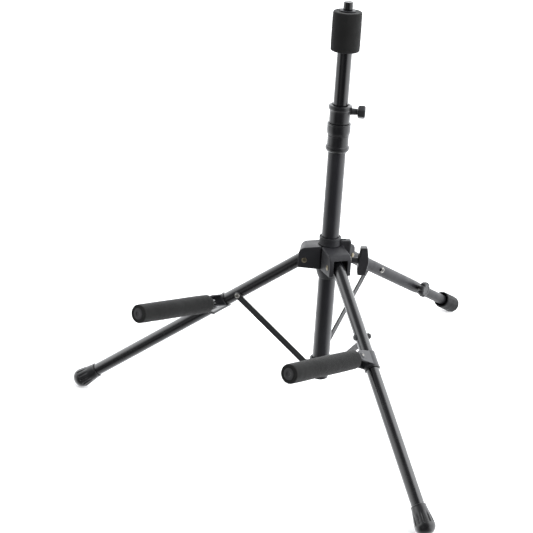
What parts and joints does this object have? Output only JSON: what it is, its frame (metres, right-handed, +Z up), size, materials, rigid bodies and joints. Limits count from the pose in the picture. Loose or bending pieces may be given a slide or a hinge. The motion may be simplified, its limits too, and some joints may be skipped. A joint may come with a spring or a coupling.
{
  "type": "folding instrument stand",
  "caption": "Folding tripod instrument stand: leaning height-adjustable post with a padded peg, sliding hub, braced legs, telescoping rear leg and two padded folding arms.",
  "frame": {"origin": "on the floor, in the middle of the stand's bounding box; the point where the leg axes meet the post is 45 mm in front of it", "axes": "+Z up, -Y is the front (the padded arms point that way), +Y is the rear leg, +X is the right arm seen from behind the arms; the post leans 5.4 degrees back towards +Y"},
  "size_m": [0.6488, 0.636, 0.6027],
  "materials": {
    "black_tube": "satin black powder coat",
    "moulded_black": "fine moulded texture",
    "black_foam": "closed-cell foam, matte",
    "black_rubber": "smooth moulded rubber",
    "plated_steel": "zinc plated",
    "brace_bar": "satin dark grey"
  },
  "bodies": {
    "post": {"lower_post": "black_tube", "post_end_cap": "moulded_black", "brace_collar": "moulded_black", "brace_collar_screw": "plated_steel", "height_collar_sleeve": "moulded_black", "height_collar_band": "moulded_black", "height_collar_housing": "moulded_black", "rod_guide_bushing": "moulded_black"},
    "hub": {"hub_casting": "moulded_black", "hub_top_ring": "moulded_black", "left_leg_pivot_pin": "plated_steel", "right_leg_pivot_pin": "plated_steel", "rear_leg_pivot_pin": "plated_steel"},
    "hub_clamp": {"hub_clamp_screw": "plated_steel", "hub_knob": "moulded_black"},
    "front_left_leg_body": {"front_left_leg": "black_tube", "front_left_foot": "black_rubber", "front_left_brace_bolt": "plated_steel", "front_left_brace_nut": "plated_steel", "left_arm_bracket": "moulded_black", "left_bracket_ring": "black_rubber", "left_arm_rivet": "plated_steel"},
    "front_left_brace_body": {"front_left_brace": "brace_bar", "front_left_brace_rivet": "plated_steel"},
    "left_arm_body": {"left_arm_rod": "black_tube", "left_arm_foam": "black_foam", "left_arm_end_plug": "moulded_black"},
    "front_right_leg_body": {"front_right_leg": "black_tube", "front_right_foot": "black_rubber", "front_right_brace_bolt": "plated_steel", "front_right_brace_nut": "plated_steel", "right_arm_bracket": "moulded_black", "right_bracket_ring": "black_rubber", "right_arm_rivet": "plated_steel"},
    "front_right_brace_body": {"front_right_brace": "brace_bar", "front_right_brace_rivet": "plated_steel"},
    "right_arm_body": {"right_arm_rod": "black_tube", "right_arm_foam": "black_foam", "right_arm_end_plug": "moulded_black"},
    "rear_leg_body": {"rear_leg_outer": "black_tube", "rear_brace_bolt": "plated_steel", "rear_brace_nut": "plated_steel", "rear_brace_spacer": "plated_steel"},
    "rear_brace_body": {"rear_brace": "brace_bar", "rear_brace_rivet": "plated_steel"},
    "rear_extension": {"rear_leg_inner": "black_tube", "rear_foot": "black_rubber"},
    "rear_screw": {"rear_screw_stem": "plated_steel", "rear_screw_knob": "moulded_black"},
    "height_rod": {"upper_rod": "black_tube", "rod_end_plug": "moulded_black", "peg_foam": "black_foam", "peg_washer": "moulded_black", "peg_cap": "moulded_black"},
    "height_screw": {"height_screw_stem": "plated_steel", "height_screw_knob": "moulded_black"}
  },
  "joints": [
    {"name": "hub_slide", "type": "slide", "parent": "post", "child": "hub", "axis": [0, 0.0935, 0.9956], "range_m": [0, 0.09]},
    {"name": "hub_clamp_turn", "type": "hinge", "parent": "hub", "child": "hub_clamp", "pos_m": [0.02641, -0.02438, 0.22567], "axis": [0.7547, 0.6532, -0.0613], "range_deg": [0, 360]},
    {"name": "front_left_leg_fold", "type": "hinge", "parent": "hub", "child": "front_left_leg_body", "pos_m": [-0.02911, -0.06436, 0.23112], "axis": [0.512, -0.8552, 0.0803], "range_deg": [0, 42.84]},
    {"name": "front_left_brace_fold", "type": "hinge", "parent": "front_left_leg_body", "child": "front_left_brace_body", "pos_m": [-0.10506, -0.12825, 0.16881], "axis": [0.512, -0.8552, 0.0803], "range_deg": [-75.73, 0]},
    {"name": "front_right_leg_fold", "type": "hinge", "parent": "hub", "child": "front_right_leg_body", "pos_m": [0.02911, -0.06436, 0.23112], "axis": [0.512, 0.8552, -0.0803], "range_deg": [0, 42.84]},
    {"name": "front_right_brace_fold", "type": "hinge", "parent": "front_right_leg_body", "child": "front_right_brace_body", "pos_m": [0.11607, -0.10987, 0.16708], "axis": [0.512, 0.8552, -0.0803], "range_deg": [-75.73, 0]},
    {"name": "rear_leg_fold", "type": "hinge", "parent": "hub", "child": "rear_leg_body", "pos_m": [0, -0.01067, 0.22562], "axis": [-1, 0, 0], "range_deg": [0, 43.43]},
    {"name": "rear_brace_fold", "type": "hinge", "parent": "rear_leg_body", "child": "rear_brace_body", "pos_m": [-0.0145, 0.07998, 0.16456], "axis": [-1, 0, 0], "range_deg": [-69.62, 0]},
    {"name": "left_arm_fold", "type": "hinge", "parent": "front_left_leg_body", "child": "left_arm_body", "pos_m": [-0.13052, -0.15643, 0.15957], "axis": [0.6828, -0.2078, -0.7004], "range_deg": [0, 45]},
    {"name": "right_arm_fold", "type": "hinge", "parent": "front_right_leg_body", "child": "right_arm_body", "pos_m": [0.13227, -0.1576, 0.15822], "axis": [0.6828, 0.2078, 0.7004], "range_deg": [0, 45]},
    {"name": "rear_leg_extend", "type": "slide", "parent": "rear_leg_body", "child": "rear_extension", "axis": [0, 0.8294, -0.5587], "range_m": [-0.075, 0.028]},
    {"name": "rear_screw_turn", "type": "hinge", "parent": "rear_leg_body", "child": "rear_screw", "pos_m": [0.012, 0.1878, 0.09193], "axis": [1, 0, 0], "range_deg": [0, 360]},
    {"name": "height_slide", "type": "slide", "parent": "post", "child": "height_rod", "axis": [0, 0.0935, 0.9956], "range_m": [-0.07, 0.15]},
    {"name": "height_screw_turn", "type": "hinge", "parent": "post", "child": "height_screw", "pos_m": [0.01638, -0.01492, 0.44936], "axis": [0.8192, 0.5711, -0.0536], "range_deg": [0, 360]}
  ],
  "couplings": [
    {"joint": "front_left_leg_fold", "follows": "hub_slide", "rad_per_m": 8.2986},
    {"joint": "front_left_brace_fold", "follows": "hub_slide", "rad_per_m": -14.677},
    {"joint": "front_right_leg_fold", "follows": "hub_slide", "rad_per_m": 8.2986},
    {"joint": "front_right_brace_fold", "follows": "hub_slide", "rad_per_m": -14.677},
    {"joint": "rear_leg_fold", "follows": "hub_slide", "rad_per_m": 8.4133},
    {"joint": "rear_brace_fold", "follows": "hub_slide", "rad_per_m": -13.492}
  ]
}
